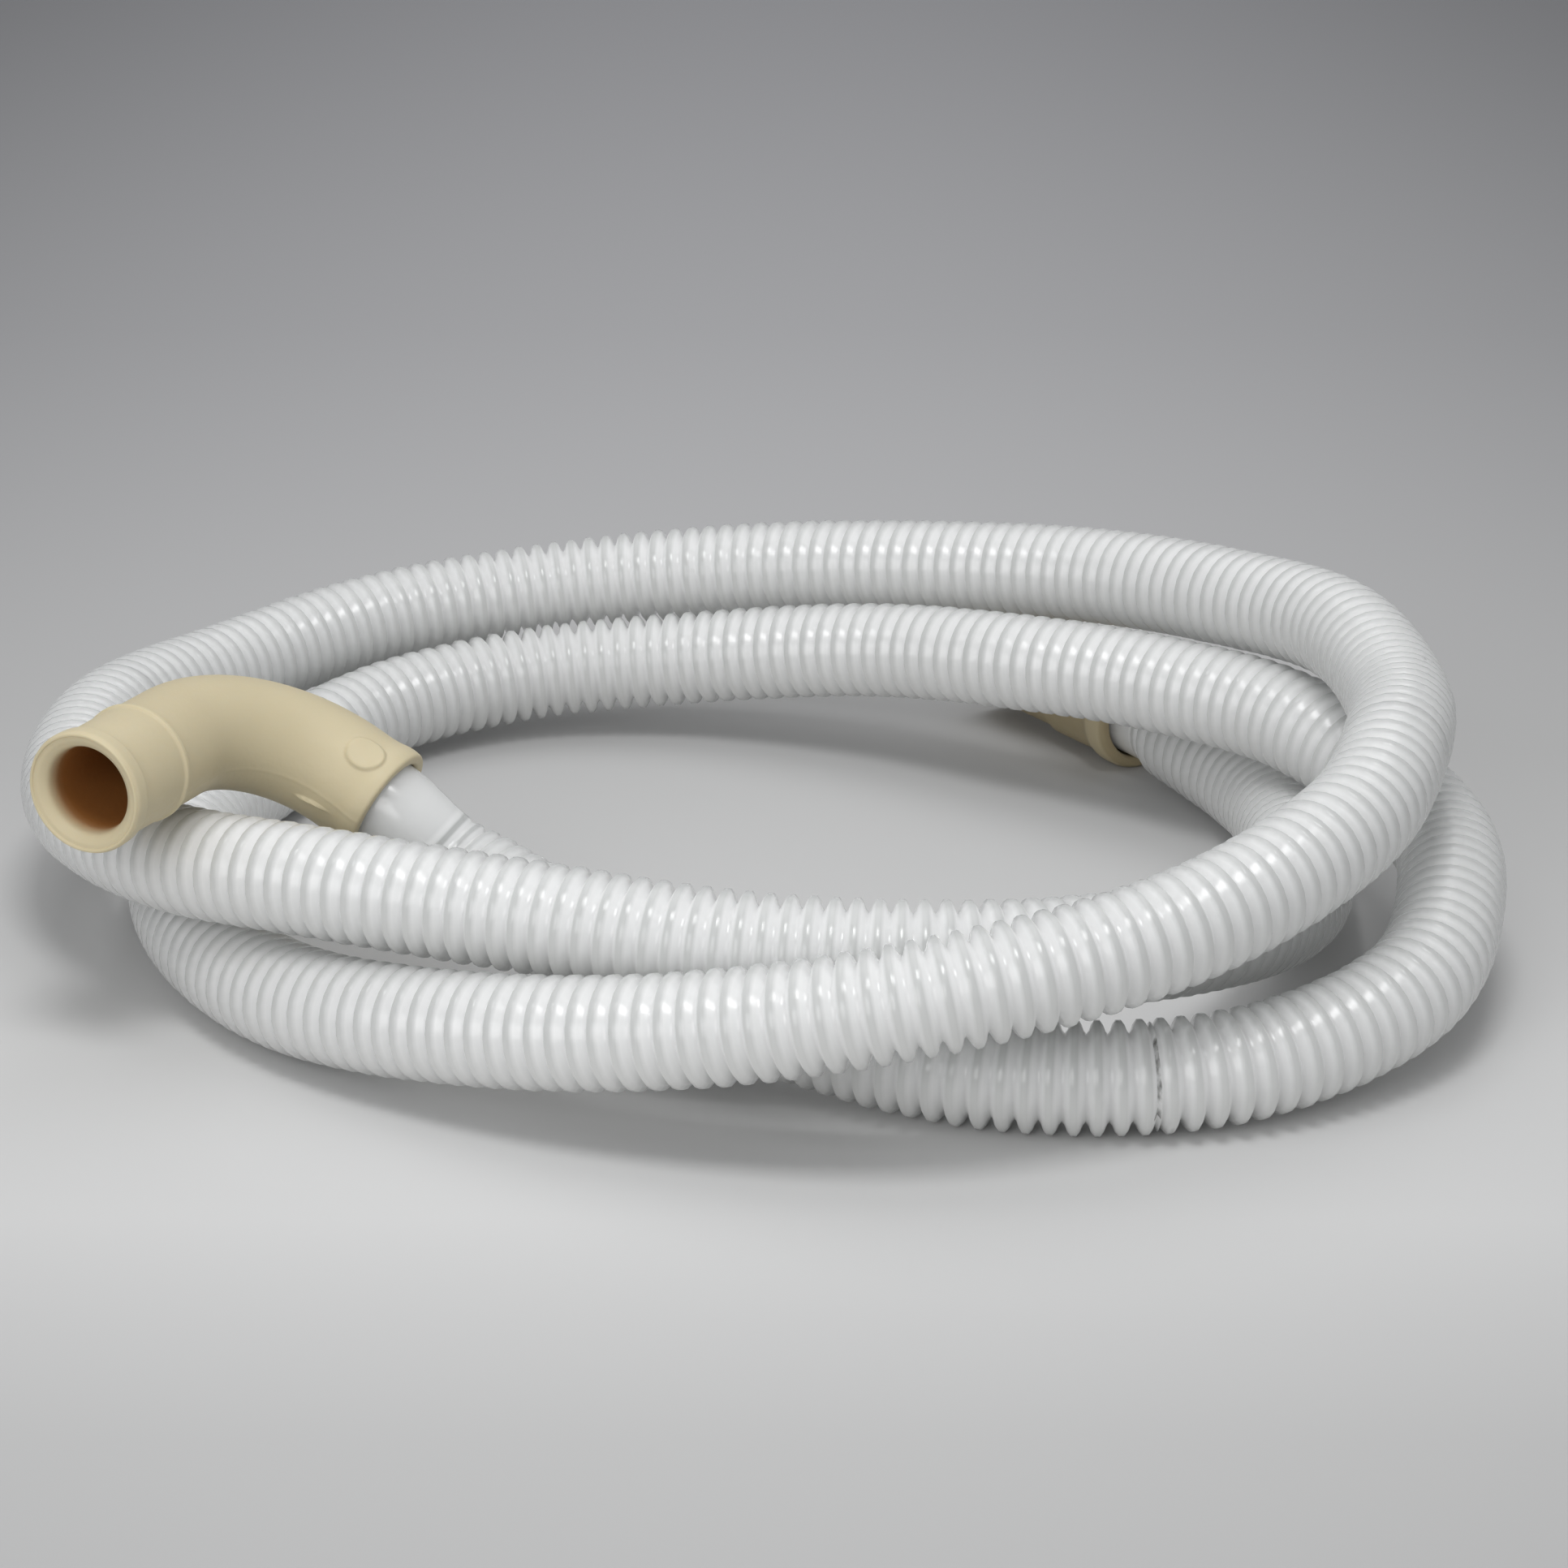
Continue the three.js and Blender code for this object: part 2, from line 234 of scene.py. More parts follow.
class HoseRoute:
    """The hose's centreline: a centripetal curve through the route's points."""

    SAMPLES_PER_SPAN = 60
    TANGENT_REACH = 1.5 * MM

    def __init__(self, points: Sequence[Sequence[float]]) -> None:
        """Sample the curve and measure its length.

        Args:
            points: Points that the curve passes through, in metres.
        """
        knots = np.asarray(points, float)
        ends = np.vstack([2 * knots[0] - knots[1], knots, 2 * knots[-1] - knots[-2]])
        spans = [self._span(*ends[i:i + 4]) for i in range(len(knots) - 1)]
        self.samples = np.vstack([*spans, knots[-1:]])
        steps = np.linalg.norm(np.diff(self.samples, axis=0), axis=1)
        self.arc = np.concatenate([[0.0], np.cumsum(steps)])
        self.length = float(self.arc[-1])

    def _span(self, p0: np.ndarray, p1: np.ndarray, p2: np.ndarray, p3: np.ndarray) -> np.ndarray:
        """One span of the curve.

        Args:
            p0: The point before the span.
            p1: Where the span starts.
            p2: Where the span ends.
            p3: The point after the span.

        Returns:
            Points from p1 up to, and not with, p2.
        """
        t0 = 0.0
        t1 = t0 + np.linalg.norm(p1 - p0) ** 0.5
        t2 = t1 + np.linalg.norm(p2 - p1) ** 0.5
        t3 = t2 + np.linalg.norm(p3 - p2) ** 0.5
        t = np.linspace(t1, t2, self.SAMPLES_PER_SPAN, endpoint=False)[:, None]
        a1 = ((t1 - t) * p0 + (t - t0) * p1) / (t1 - t0)
        a2 = ((t2 - t) * p1 + (t - t1) * p2) / (t2 - t1)
        a3 = ((t3 - t) * p2 + (t - t2) * p3) / (t3 - t2)
        b1 = ((t2 - t) * a1 + (t - t0) * a2) / (t2 - t0)
        b2 = ((t3 - t) * a2 + (t - t1) * a3) / (t3 - t1)
        return ((t2 - t) * b1 + (t - t1) * b2) / (t2 - t1)

    def point(self, arc: np.ndarray) -> np.ndarray:
        """Points on the curve.

        Args:
            arc: Distances along the curve, in metres.

        Returns:
            One point for each distance.
        """
        return np.stack([np.interp(arc, self.arc, self.samples[:, k]) for k in range(3)], axis=-1)

    def stations(self, arc: np.ndarray) -> Stations:
        """Points with an upward and a sideways direction across the curve.

        Args:
            arc: Distances along the curve, in metres.

        Returns:
            The stations; across_a points up and across_b to the side.
        """
        reach = self.TANGENT_REACH
        low = np.clip(arc - reach, 0.0, self.length - 2 * reach)
        tangent = unit(self.point(low + 2 * reach) - self.point(low))
        side = unit(np.cross(tangent, [0.0, 0.0, 1.0]))
        return Stations(self.point(arc), np.cross(side, tangent), side)


class ElbowPath:
    """The elbow's axis: a straight mouth leg, a quarter bend and a straight hose leg."""

    def __init__(self, spec: ElbowSpec) -> None:
        """Set up the axis.

        Args:
            spec: The elbow's measures.
        """
        self.spec = spec
        self.corner = np.array(spec.corner)
        self.mouth = heading(spec.mouth_azimuth)
        roll = math.radians(spec.roll)
        level = np.cross([0.0, 0.0, 1.0], self.mouth)
        self.hose = math.cos(roll) * level + math.sin(roll) * np.array([0.0, 0.0, 1.0])
        self.normal = np.cross(self.mouth, self.hose)
        self.mouth_run = spec.mouth_leg - spec.bend_radius
        self.bend_run = spec.bend_radius * math.pi / 2
        self.hose_run = spec.hose_leg - spec.bend_radius
        self.length = self.mouth_run + self.bend_run + self.hose_run

    def on_hose_leg(self, distance: float) -> np.ndarray:
        """A point on the hose leg's axis.

        Args:
            distance: Metres from the corner.

        Returns:
            The point.
        """
        return self.corner + distance * self.hose

    def stations(self, arc: np.ndarray) -> Stations:
        """Points along the axis, from the mouth's face.

        Args:
            arc: Distances from the mouth's face, in metres.

        Returns:
            The stations; across_a is the bend's normal and across_b points out of the bend.
        """
        radius = self.spec.bend_radius
        angle = np.clip((arc - self.mouth_run) / radius, 0.0, math.pi / 2)[:, None]
        before = np.minimum(arc - self.mouth_run, 0.0)[:, None]
        after = np.maximum(arc - self.mouth_run - self.bend_run, 0.0)[:, None]
        out = -(np.cos(angle) * self.hose + np.sin(angle) * self.mouth)
        centre = self.corner + radius * (self.mouth + self.hose)
        points = centre + radius * out - before * self.mouth + after * self.hose
        normal = np.broadcast_to(self.normal, points.shape)
        return Stations(points, normal, out)


class StraightPath:
    """A straight level axis."""

    def __init__(self, start: Sequence[float], azimuth: float) -> None:
        """Set up the axis.

        Args:
            start: Where it starts, in metres.
            azimuth: Its heading in degrees.
        """
        self.start = np.array(start)
        self.along = heading(azimuth)

    def stations(self, arc: np.ndarray) -> Stations:
        """Points along the axis.

        Args:
            arc: Distances from the start, in metres.

        Returns:
            The stations; across_a points up and across_b to the side.
        """
        up = np.array([0.0, 0.0, 1.0])
        points = self.start + arc[:, None] * self.along
        side = np.broadcast_to(np.cross(self.along, up), points.shape)
        return Stations(points, np.broadcast_to(up, points.shape), side)


def full_route() -> HoseRoute:
    """The hose's centreline with its straight ends in the elbow and the connector.

    Returns:
        The route.
    """
    elbow = ElbowPath(ELBOW)
    away = heading(CONNECTOR.azimuth)
    face = np.array(CONNECTOR.face)
    return HoseRoute([
        elbow.on_hose_leg(ELBOW.hose_leg - ELBOW.cuff_depth),
        elbow.on_hose_leg(ELBOW.hose_leg + LEAD_OUT),
        *(np.array(p) * MM for p in ROUTE_MM),
        face - LEAD_IN * away,
        face + CONNECTOR.cuff_depth * away,
    ])


# Surfaces

def smooth_step(value: np.ndarray, low: float, high: float) -> np.ndarray:
    """A soft step from 0 at low to 1 at high.

    Args:
        value: Numbers to step.
        low: Where the step starts.
        high: Where it ends.

    Returns:
        The stepped numbers.
    """
    t = np.clip((value - low) / (high - low), 0.0, 1.0)
    return t * t * (3.0 - 2.0 * t)


def ring_surface(stations: Stations, radius: np.ndarray) -> np.ndarray:
    """Rings of points around a path.

    Args:
        stations: One station for each ring.
        radius: Radii, one row for each ring and one column for each side.

    Returns:
        Points as rings by sides by xyz.
    """
    turn = TAU * np.arange(radius.shape[1]) / radius.shape[1]
    across = (np.cos(turn)[None, :, None] * stations.across_a[:, None]
              + np.sin(turn)[None, :, None] * stations.across_b[:, None])
    return stations.points[:, None] + radius[..., None] * across


@dataclass
class ClosedShell:
    """A surface that closes round its axis and end to end, as a tube with walls does."""

    points: np.ndarray
    along: np.ndarray
    masks: dict[str, np.ndarray]
    vectors: dict[str, np.ndarray] = field(default_factory=dict)

    def build(self, name: str) -> bpy.types.Object:
        """Make the surface's object.

        Args:
            name: The object's name.

        Returns:
            The linked object.
        """
        rings, sides, _ = self.points.shape
        index = np.arange(rings * sides).reshape(rings, sides)
        nearer = np.roll(index, -1, axis=0)
        quads = np.stack([index, nearer, np.roll(nearer, -1, axis=1), np.roll(index, -1, axis=1)], axis=-1)
        quads = quads.reshape(-1, 4)
        corners = self.points.reshape(-1, 3)
        a, b, c, d = (corners[quads[:, k]] for k in range(4))
        volume = np.einsum("ij,ij->", a + b + c + d, np.cross(c - a, d - b))
        if volume < 0:
            quads = quads[:, ::-1]
        mesh = bpy.data.meshes.new(name)
        mesh.from_pydata(corners, [], quads)
        mesh.polygons.foreach_set("use_smooth", np.ones(len(quads), bool))
        self._add_uv(mesh, quads, sides)
        for label, values in self.masks.items():
            layer = mesh.attributes.new(label, "FLOAT", "POINT")
            layer.data.foreach_set("value", values.astype(np.float32).ravel())
        for label, values in self.vectors.items():
            layer = mesh.attributes.new(label, "FLOAT_VECTOR", "POINT")
            layer.data.foreach_set("vector", values.astype(np.float32).ravel())
        mesh.update()
        shell = bpy.data.objects.new(name, mesh)
        bpy.context.scene.collection.objects.link(shell)
        LOG.info("%s: %d faces", name, len(quads))
        return shell

    def _add_uv(self, mesh: bpy.types.Mesh, quads: np.ndarray, sides: int) -> None:
        """Lay the surface out by turn and by distance along the axis.

        Args:
            mesh: The mesh to lay out.
            quads: Its faces.
            sides: Points in each ring.
        """
        ring, side = np.divmod(quads, sides)
        last = (side == 0) & (side.max(axis=1, keepdims=True) == sides - 1)
        turn = np.where(last, sides, side) / sides
        layer = mesh.uv_layers.new(name="route")
        layer.data.foreach_set("uv", np.stack([turn, self.along[ring]], axis=-1).astype(np.float32).ravel())


class Profile:
    """An outline of distance and radius with rounded corners."""

    def __init__(self, corners: Sequence[tuple[float, float, float]], steps: int = 5) -> None:
        """Round the corners of an outline.

        Args:
            corners: Distance, radius and rounding of each corner, in millimetres.
            steps: Points in each rounded corner.
        """
        places = np.array([c[:2] for c in corners], float)
        rows = [places[0]]
        for i in range(1, len(corners) - 1):
            back, ahead = places[i - 1] - places[i], places[i + 1] - places[i]
            reach = min(corners[i][2], 0.45 * np.linalg.norm(back), 0.45 * np.linalg.norm(ahead))
            if reach <= 0:
                rows.append(places[i])
                continue
            start, end = places[i] + unit(back) * reach, places[i] + unit(ahead) * reach
            t = np.linspace(0.0, 1.0, steps)[:, None]
            rows.extend((1 - t) ** 2 * start + 2 * t * (1 - t) * places[i] + t * t * end)
        rows.append(places[-1])
        self.rows = np.array(rows) * MM

    def refined(self, spacing: float) -> np.ndarray:
        """Outline points no further apart than a spacing.

        Args:
            spacing: The largest step, in metres.

        Returns:
            Rows of distance and radius, in metres.
        """
        out = [self.rows[:1]]
        for a, b in zip(self.rows[:-1], self.rows[1:]):
            count = max(1, int(math.ceil(np.linalg.norm(b - a) / spacing)))
            t = np.linspace(0.0, 1.0, count + 1)[1:, None]
            out.append(a + (b - a) * t)
        return np.vstack(out)


# Materials

Colour = tuple[float, float, float]
Value = Union[float, bpy.types.NodeSocket]
Tint = Union[Colour, bpy.types.NodeSocket]


class NodeGraph:
    """A short way to place and join shader nodes."""

    # Sockets of the Mix node for its factor, colours and vectors
    COLOUR_FACTOR, COLOUR_A, COLOUR_B, COLOUR_RESULT = 0, 6, 7, 2
    VECTOR_FACTOR, VECTOR_A, VECTOR_B, VECTOR_RESULT = 0, 4, 5, 1

    def __init__(self, tree: bpy.types.NodeTree) -> None:
        """Hold a node tree.

        Args:
            tree: The tree to fill.
        """
        self.tree = tree

    def add(self, kind: str, settings: dict | None = None, inputs: dict | None = None) -> bpy.types.Node:
        """Add a node.

        Args:
            kind: The node's type name.
            settings: Attributes to set on it.
            inputs: Values, or sockets to join, by input name or number.

        Returns:
            The node.
        """
        node = self.tree.nodes.new(kind)
        for key, value in (settings or {}).items():
            setattr(node, key, value)
        for key, value in (inputs or {}).items():
            if isinstance(value, bpy.types.NodeSocket):
                self.tree.links.new(value, node.inputs[key])
            else:
                node.inputs[key].default_value = value
        return node

    def math(self, operation: str, first: Value, second: Value = 0.0) -> bpy.types.NodeSocket:
        """A sum, product or other operation.

        Args:
            operation: The operation's name.
            first: A number or socket.
            second: A number or socket.

        Returns:
            The result's socket.
        """
        return self.add("ShaderNodeMath", {"operation": operation}, {0: first, 1: second}).outputs[0]

    def mix(self, factor: Value, first: Tint, second: Tint) -> bpy.types.NodeSocket:
        """A mix of two colours.

        Args:
            factor: A number or socket.
            first: A colour or socket.
            second: A colour or socket.

        Returns:
            The mixed colour's socket.
        """
        node = self.add("ShaderNodeMix", {"data_type": "RGBA"}, {
            self.COLOUR_FACTOR: factor, self.COLOUR_A: self._opaque(first),
            self.COLOUR_B: self._opaque(second)})
        return node.outputs[self.COLOUR_RESULT]

    @staticmethod
    def _opaque(tint: Tint) -> bpy.types.NodeSocket | tuple[float, float, float, float]:
        """A colour with full alpha; a socket stays as it is."""
        return tint if isinstance(tint, bpy.types.NodeSocket) else (*tint, 1.0)

    def remap(self, value: bpy.types.NodeSocket, low: float, high: float, to_low: float,
              to_high: float) -> bpy.types.NodeSocket:
        """A value moved from one range to another.

        Args:
            value: The socket.
            low: The range's start.
            high: The range's end.
            to_low: The new range's start.
            to_high: The new range's end.

        Returns:
            The moved value's socket.
        """
        node = self.add("ShaderNodeMapRange", None, {0: value, 1: low, 2: high, 3: to_low, 4: to_high})
        return node.outputs[0]


def variation_group() -> bpy.types.NodeTree:
    """The cloudy variation that both moulded materials share.

    Returns:
        A group from a scale to a broad and a fine mask.
    """
    group = bpy.data.node_groups.new("moulded_variation", "ShaderNodeTree")
    group.interface.new_socket("Scale", in_out="INPUT", socket_type="NodeSocketFloat")
    group.interface.new_socket("Broad", in_out="OUTPUT", socket_type="NodeSocketFloat")
    group.interface.new_socket("Fine", in_out="OUTPUT", socket_type="NodeSocketFloat")
    graph = NodeGraph(group)
    entry = graph.add("NodeGroupInput")
    place = graph.add("ShaderNodeTexCoord").outputs["Object"]
    broad = graph.add("ShaderNodeTexNoise", None, {
        "Vector": place, "Scale": entry.outputs["Scale"], "Detail": 3.0, "Roughness": 0.5})
    fine_scale = graph.math("MULTIPLY", entry.outputs["Scale"], 14.0)
    fine = graph.add("ShaderNodeTexNoise", None, {
        "Vector": place, "Scale": fine_scale, "Detail": 4.0, "Roughness": 0.6})
    graph.add("NodeGroupOutput", None, {
        "Broad": graph.remap(broad.outputs[0], 0.35, 0.65, 0.0, 1.0),
        "Fine": graph.remap(fine.outputs[0], 0.3, 0.7, 0.0, 1.0)})
    return group


def relief_group() -> bpy.types.NodeTree:
    """The faint uneven skin that both moulded materials share.

    Returns:
        A group from a scale and a height to a normal.
    """
    group = bpy.data.node_groups.new("moulded_relief", "ShaderNodeTree")
    group.interface.new_socket("Scale", in_out="INPUT", socket_type="NodeSocketFloat")
    group.interface.new_socket("Height", in_out="INPUT", socket_type="NodeSocketFloat")
    group.interface.new_socket("Normal", in_out="OUTPUT", socket_type="NodeSocketVector")
    graph = NodeGraph(group)
    entry = graph.add("NodeGroupInput")
    place = graph.add("ShaderNodeTexCoord").outputs["Object"]
    noise = graph.add("ShaderNodeTexNoise", None, {
        "Vector": place, "Scale": entry.outputs["Scale"], "Detail": 5.0, "Roughness": 0.55})
    bump = graph.add("ShaderNodeBump", None, {
        "Strength": 1.0, "Distance": entry.outputs["Height"], "Height": noise.outputs[0]})
    graph.add("NodeGroupOutput", None, {"Normal": bump.outputs[0]})
    return group


class Finish:
    """A finish, which makes one material."""

    name = "finish"

    def __init__(self) -> None:
        """Make the material with an empty tree."""
        self.material = bpy.data.materials.new(self.name)
        self.material.use_nodes = True
        self.material.node_tree.nodes.clear()
        self.graph = NodeGraph(self.material.node_tree)

    def mask(self, label: str) -> bpy.types.NodeSocket:
        """A mask kept on the mesh.

        Args:
            label: The mask's name.

        Returns:
            Its value's socket.
        """
        return self.graph.add("ShaderNodeAttribute", {"attribute_name": label}).outputs["Fac"]

    def close(self, settings: dict) -> bpy.types.Material:
        """End the tree in a Principled shader.

        Args:
            settings: The shader's inputs by name.

        Returns:
            The material.
        """
        shader = self.graph.add("ShaderNodeBsdfPrincipled", None, settings)
        self.graph.add("ShaderNodeOutputMaterial", None, {"Surface": shader.outputs[0]})
        return self.material


class MilkyPlastic(Finish):
    """Milky translucent plastic with a few dark marks, and painted light: grooves and underside painted
    brighter, ridge tops darker.
    """

    name = "milky_plastic"
    # Painted light and shade: ridge tops are painted darker and grooves lighter, evening out the light on the
    # ridges and the shade between them
    RIDGE_TOP_PAINTED_SHADE: Colour = (0.475, 0.485, 0.48)
    GROOVE_PAINTED_LIGHT: Colour = (0.90, 0.91, 0.91)
    # Painted light: the underside is painted lighter, standing in for light through the milky wall
    UNDERSIDE_PAINTED_LIGHT: Colour = (0.88, 0.88, 0.85)
    CLOUD: Colour = (0.66, 0.67, 0.66)
    GRIME: Colour = (0.035, 0.030, 0.026)
    CLOUD_SCALE = 26.0
    CLOUDINESS = 0.15
    SKIN_SCALE = 420.0
    SKIN_HEIGHT = 0.02 * MM
    # How much noise eats into the marks, and the mask's values at which they start and are full
    GRIME_BREAKUP = 0.36
    GRIME_RANGE = (0.4, 0.75)
    GRIME_STRENGTH = 0.9
    # Part of the normal that is the whole tube's: light inside the wall evens out the ridges' shading
    EVENNESS = 0.6
    ROUGHNESS = (0.19, 0.25)

    def make(self, variation: bpy.types.NodeTree, relief: bpy.types.NodeTree) -> bpy.types.Material:
        """Make the material.

        Args:
            variation: The shared cloudy variation.
            relief: The shared uneven skin.

        Returns:
            The material.
        """
        graph = self.graph
        clouds = graph.add("ShaderNodeGroup", {"node_tree": variation}, {"Scale": self.CLOUD_SCALE})
        skin = graph.add("ShaderNodeGroup", {"node_tree": relief}, {
            "Scale": self.SKIN_SCALE, "Height": self.SKIN_HEIGHT})
        # Painted light and shade of ridges and grooves
        colour = graph.mix(self.mask("ridge"), self.GROOVE_PAINTED_LIGHT, self.RIDGE_TOP_PAINTED_SHADE)
        # Painted light on the underside
        colour = graph.mix(self.mask("under"), colour, self.UNDERSIDE_PAINTED_LIGHT)
        cloudy = graph.math("MULTIPLY", clouds.outputs["Broad"], self.CLOUDINESS)
        colour = graph.mix(cloudy, colour, self.CLOUD)
        breakup = graph.math("MULTIPLY", clouds.outputs["Fine"], self.GRIME_BREAKUP)
        grime = graph.math("SUBTRACT", self.mask("grime"), breakup)
        dark = graph.remap(grime, *self.GRIME_RANGE, 0.0, self.GRIME_STRENGTH)
        colour = graph.mix(dark, colour, self.GRIME)
        tube = graph.add("ShaderNodeAttribute", {"attribute_name": "tube"})
        turned = graph.add("ShaderNodeVectorTransform", {
            "vector_type": "NORMAL", "convert_from": "OBJECT", "convert_to": "WORLD"}, {
            0: tube.outputs["Vector"]})
        blend = graph.add("ShaderNodeMix", {"data_type": "VECTOR"}, {
            graph.VECTOR_FACTOR: self.EVENNESS, graph.VECTOR_A: skin.outputs[0],
            graph.VECTOR_B: turned.outputs[0]})
        normal = graph.add("ShaderNodeVectorMath", {"operation": "NORMALIZE"}, {
            0: blend.outputs[graph.VECTOR_RESULT]})
        return self.close({
            "Base Color": colour, "Roughness": graph.remap(clouds.outputs["Fine"], 0.0, 1.0, *self.ROUGHNESS),
            "IOR": 1.5, "Specular IOR Level": 0.42, "Normal": normal.outputs[0], "Subsurface Weight": 1.0,
            "Subsurface Radius": (1.0, 1.0, 1.0), "Subsurface Scale": 0.021,
            "Coat Weight": 0.3, "Coat Roughness": 0.12})


class MouldedRubber(Finish):
    """Matt moulded rubber, with painted shade that makes its bore browner and darker."""

    name = "cream_rubber"
    LIGHT: Colour = (0.64, 0.56, 0.375)
    DEEP: Colour = (0.585, 0.505, 0.33)
    EDGE: Colour = (0.66, 0.58, 0.39)
    # Painted shade that browns and darkens the bore
    BORE_PAINTED_SHADE: Colour = (0.37, 0.155, 0.042)
    CLOUD_SCALE = 38.0
    CLOUDINESS = 0.6
    EDGE_SHARE = 0.5
    SKIN_SCALE = 900.0
    SKIN_HEIGHT = 0.05 * MM
    ROUGHNESS = (0.46, 0.60)

    def make(self, variation: bpy.types.NodeTree, relief: bpy.types.NodeTree) -> bpy.types.Material:
        """Make the material.

        Args:
            variation: The shared cloudy variation.
            relief: The shared uneven skin.

        Returns:
            The material.
        """
        graph = self.graph
        clouds = graph.add("ShaderNodeGroup", {"node_tree": variation}, {"Scale": self.CLOUD_SCALE})
        skin = graph.add("ShaderNodeGroup", {"node_tree": relief}, {
            "Scale": self.SKIN_SCALE, "Height": self.SKIN_HEIGHT})
        cloudy = graph.math("MULTIPLY", clouds.outputs["Broad"], self.CLOUDINESS)
        colour = graph.mix(cloudy, self.LIGHT, self.DEEP)
        colour = graph.mix(graph.math("MULTIPLY", self.mask("edge"), self.EDGE_SHARE), colour, self.EDGE)
        # Painted shade in the bore
        colour = graph.mix(self.mask("bore"), colour, self.BORE_PAINTED_SHADE)
        return self.close({
            "Base Color": colour, "Roughness": graph.remap(clouds.outputs["Fine"], 0.0, 1.0, *self.ROUGHNESS),
            "IOR": 1.45, "Normal": skin.outputs[0], "Subsurface Weight": 0.2,
            "Subsurface Radius": (1.0, 0.7, 0.4), "Subsurface Scale": 0.002})


class TanRubber(MouldedRubber):
    """The connector's rubber, darker than the elbow's."""

    name = "tan_rubber"
    LIGHT = (0.42, 0.35, 0.215)
    DEEP = (0.38, 0.31, 0.185)
    # Painted shade in the connector's bore
    BORE_PAINTED_SHADE = (0.16, 0.08, 0.03)


class PaleFloor(Finish):
    """Pale matt sheet with a painted pool of light: lightest just in front of the coil, which also lightens
    the hose's shadow there, and painted darker towards the back and the sides.
    """

    name = "pale_floor"
    # Painted pool of light along the floor: distance towards the back in metres, brightness, and how blue it
    # is
    PAINTED_LIGHT_TONES = (
        (-0.30, 0.475, 1.0), (-0.23, 0.53, 1.0), (-0.19, 0.60, 1.0), (-0.15, 0.68, 1.0), (-0.08, 0.69, 1.0),
        (0.0, 0.62, 1.0), (0.10, 0.55, 1.0), (0.33, 0.50, 1.02), (0.52, 0.465, 1.03), (1.30, 0.44, 1.05),
    )
    # How fast the painted falloff darkens it with the square of the distance to the side
    PAINTED_SIDE_FALLOFF = 3.2

    def make(self) -> bpy.types.Material:
        """Make the material.

        Returns:
            The material.
        """
        graph = self.graph
        near, far = self.PAINTED_LIGHT_TONES[0][0], self.PAINTED_LIGHT_TONES[-1][0]
        place = graph.add("ShaderNodeTexCoord").outputs["Object"]
        split = graph.add("ShaderNodeSeparateXYZ", None, {0: place})
        along = graph.remap(split.outputs["Y"], near, far, 0.0, 1.0)
        # The ramp paints the pool of light in front of the coil and the darkening towards the back
        ramp = graph.add("ShaderNodeValToRGB", None, {0: along})
        stops = ramp.color_ramp.elements
        for _ in self.PAINTED_LIGHT_TONES[2:]:
            stops.new(0.5)
        for stop, (at, tone, blue) in zip(stops, self.PAINTED_LIGHT_TONES):
            stop.position = (at - near) / (far - near)
            stop.color = (tone, tone, tone * blue, 1.0)
        aside = graph.math("MULTIPLY", split.outputs["X"], split.outputs["X"])
        spread = graph.math("ADD", graph.math("MULTIPLY", aside, self.PAINTED_SIDE_FALLOFF), 1.0)
        fade = graph.math("DIVIDE", 1.0, spread)
        colour = graph.add("ShaderNodeVectorMath", {"operation": "SCALE"}, {
            0: ramp.outputs[0], "Scale": fade})
        return self.close({"Base Color": colour.outputs[0], "Roughness": 0.7, "Specular IOR Level": 0.2})


# Pieces

class Piece:
    """One piece of the part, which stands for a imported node."""

    node: str
    slot: Slot

    def dress(self, piece: bpy.types.Object, material: bpy.types.Material) -> bpy.types.Object:
        """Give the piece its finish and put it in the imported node's place.

        Args:
            piece: The new piece.
            material: Its material.

        Returns:
            The same piece.
        """
        piece.data.materials.append(material)
        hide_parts(self.node)
        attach(piece, "root")
        return piece


